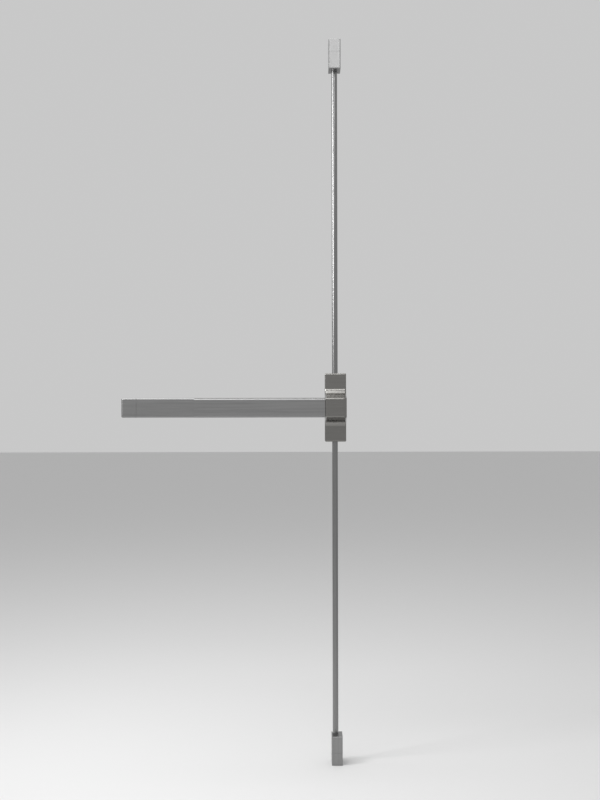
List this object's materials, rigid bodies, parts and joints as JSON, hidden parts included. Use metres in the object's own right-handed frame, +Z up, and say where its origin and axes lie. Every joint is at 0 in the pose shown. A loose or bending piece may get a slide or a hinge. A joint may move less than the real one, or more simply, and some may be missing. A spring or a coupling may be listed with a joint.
{
  "type": "panic exit bar",
  "caption": "Surface-mounted panic exit bar with a sprung push pad, a centre case with a stepped nose, and vertical rods that bolt the door at top and bottom.",
  "frame": {"origin": "centre of the centre case's four-bolt pattern, on the face of the door", "axes": "+X along the bar from its free end to the centre case, +Y square into the door leaf, +Z up along the rods"},
  "size_m": [0.673, 0.089, 2.17],
  "materials": {
    "satin_cover": "satin brushed",
    "satin_pad": "satin anodised",
    "aluminium_rail": "satin anodised",
    "satin_rod": "drawn satin",
    "zinc_plate": "zinc plated",
    "bright_fastener": "plated",
    "turned_steel": "turned",
    "spring_steel": "oil tempered",
    "nylon": "moulded",
    "buffer_rubber": "moulded"
  },
  "bodies": {
    "fixed_frame": {"centre_chassis": "zinc_plate", "centre_cover": "satin_cover", "cover_screws": "bright_fastener", "lever_posts": "bright_fastener", "rod_bushes": "nylon", "rail": "aluminium_rail", "rail_screws": "bright_fastener", "filler_cover": "satin_cover", "end_bracket": "zinc_plate", "end_cap": "satin_cover", "end_cap_screws": "bright_fastener", "rear_crank_bracket": "zinc_plate", "front_crank_bracket": "zinc_plate", "crank_pivot_pins": "bright_fastener", "rail_rivets": "bright_fastener", "pad_buffers": "buffer_rubber", "draw_bar_guides": "nylon", "spring_bracket": "zinc_plate", "return_spring": "spring_steel", "unit_cover_screws": "bright_fastener", "top_latch_base": "zinc_plate", "top_latch_cover": "satin_cover", "top_strike_base": "zinc_plate", "top_strike_cover": "satin_cover", "top_bolt_spring": "spring_steel", "bottom_latch_base": "zinc_plate", "bottom_latch_cover": "satin_cover", "bottom_strike_base": "zinc_plate", "bottom_strike_cover": "satin_cover", "bottom_bolt_spring": "spring_steel"},
    "push_pad": {"push_pad": "satin_pad", "pad_cap_left": "satin_pad", "pad_cap_right": "satin_pad", "rear_hanger": "zinc_plate", "front_hanger": "zinc_plate", "hanger_pins": "bright_fastener"},
    "rear_crank": {"rear_crank": "zinc_plate", "rear_crank_pin": "bright_fastener"},
    "front_crank": {"front_crank": "zinc_plate", "front_crank_pin": "bright_fastener"},
    "draw_bar": {"draw_bar": "zinc_plate", "draw_bar_head": "zinc_plate", "head_pins": "bright_fastener", "spring_rod": "bright_fastener", "spring_collar": "bright_fastener"},
    "upper_lever": {"upper_lever": "zinc_plate"},
    "lower_lever": {"lower_lever": "zinc_plate"},
    "top_rod": {"top_rod": "satin_rod", "top_rod_carrier": "turned_steel", "top_rod_stud": "bright_fastener", "top_rod_nut": "bright_fastener", "top_bolt": "turned_steel"},
    "bottom_rod": {"bottom_rod": "satin_rod", "bottom_rod_carrier": "turned_steel", "bottom_rod_stud": "bright_fastener", "bottom_rod_nut": "bright_fastener", "bottom_bolt": "turned_steel"}
  },
  "joints": [
    {"name": "pad_press", "type": "slide", "parent": "fixed_frame", "child": "push_pad", "axis": [0, 1, 0], "range_m": [0, 0.018], "stiffness_N_per_m": 2000, "springref_m": -0.01},
    {"name": "rear_crank_turn", "type": "hinge", "parent": "fixed_frame", "child": "rear_crank", "pos_m": [-0.3604, -0.036, 0], "axis": [0, 0, -1], "range_deg": [0, 39.6]},
    {"name": "front_crank_turn", "type": "hinge", "parent": "fixed_frame", "child": "front_crank", "pos_m": [-0.1296, -0.036, 0], "axis": [0, 0, -1], "range_deg": [0, 39.6]},
    {"name": "draw_bar_slide", "type": "slide", "parent": "fixed_frame", "child": "draw_bar", "axis": [1, 0, 0], "range_m": [0, 0.01491], "deforming": ["return_spring"]},
    {"name": "upper_lever_turn", "type": "hinge", "parent": "fixed_frame", "child": "upper_lever", "pos_m": [0.0165, -0.0081, 0.028], "axis": [0, -1, 0], "range_deg": [0, 40.9]},
    {"name": "lower_lever_turn", "type": "hinge", "parent": "fixed_frame", "child": "lower_lever", "pos_m": [0.0165, -0.0081, -0.028], "axis": [0, 1, 0], "range_deg": [0, 40.9]},
    {"name": "top_rod_slide", "type": "slide", "parent": "fixed_frame", "child": "top_rod", "axis": [0, 0, -1], "range_m": [0, 0.01342], "deforming": ["top_bolt_spring"]},
    {"name": "bottom_rod_slide", "type": "slide", "parent": "fixed_frame", "child": "bottom_rod", "axis": [0, 0, 1], "range_m": [0, 0.01342], "deforming": ["bottom_bolt_spring"]}
  ],
  "couplings": [
    {"joint": "rear_crank_turn", "follows": "pad_press", "rad_per_m": 38.395},
    {"joint": "front_crank_turn", "follows": "pad_press", "rad_per_m": 38.395},
    {"joint": "draw_bar_slide", "follows": "pad_press", "ratio": 0.828},
    {"joint": "upper_lever_turn", "follows": "pad_press", "rad_per_m": 39.629},
    {"joint": "lower_lever_turn", "follows": "pad_press", "rad_per_m": 39.629},
    {"joint": "top_rod_slide", "follows": "pad_press", "ratio": 0.7452},
    {"joint": "bottom_rod_slide", "follows": "pad_press", "ratio": 0.7452}
  ]
}
